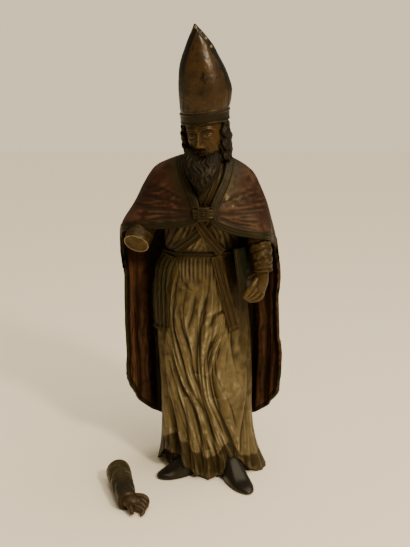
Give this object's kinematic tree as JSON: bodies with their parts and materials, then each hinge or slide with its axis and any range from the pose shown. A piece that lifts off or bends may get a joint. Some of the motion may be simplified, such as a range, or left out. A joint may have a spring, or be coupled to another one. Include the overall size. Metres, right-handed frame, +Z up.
{
  "type": "carved wooden saint",
  "caption": "Standing carved wooden bishop saint in mitre, cope and long alb, holding a book at the hip, with the broken-off right forearm lying on the floor beside it.",
  "frame": {"origin": "on the floor under the figure, in the middle of its flat underside", "axes": "+Z up, -Y the way the figure faces, +X to the viewer's right when facing it"},
  "size_m": [0.2995, 0.2517, 0.7431],
  "materials": {
    "painted_wood": "old paint and glaze on carved wood, worn, satin",
    "painted_wood_loose": "old dark paint on carved wood, worn, satin"
  },
  "bodies": {
    "root": {"saint_figure": "painted_wood", "loose_right_forearm": "painted_wood_loose"}
  },
  "joints": []
}
